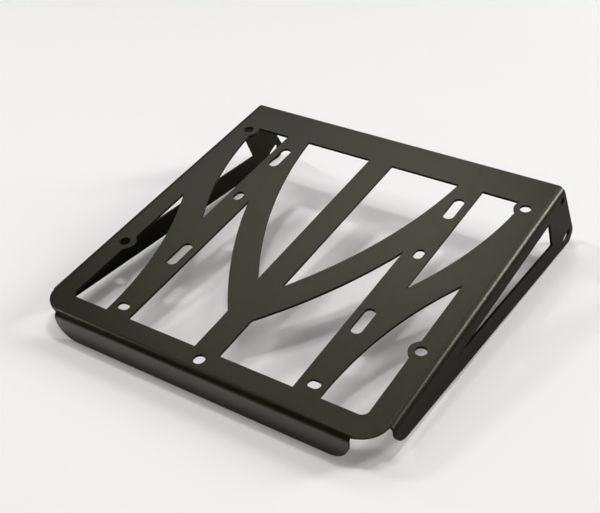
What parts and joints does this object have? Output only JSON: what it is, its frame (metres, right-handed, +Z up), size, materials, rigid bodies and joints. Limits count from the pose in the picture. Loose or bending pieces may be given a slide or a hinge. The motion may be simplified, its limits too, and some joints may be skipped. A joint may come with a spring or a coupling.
{
  "type": "motorcycle luggage rack",
  "caption": "Flat lattice luggage rack folded from one steel sheet, with slotted bars, bolt ears, a front lip and windowed side flanges that drop to tails.",
  "frame": {"origin": "on the middle line of the plate's top face, level with the front edges of the front cut-outs", "axes": "+X to the rack's right, +Y to its rear, +Z up, square to the plate"},
  "size_m": [0.2796, 0.3068, 0.0665],
  "materials": {
    "coated_sheet": "satin fine-texture powder coat, olive black"
  },
  "bodies": {
    "root": {"luggage_rack": "coated_sheet"}
  },
  "joints": []
}
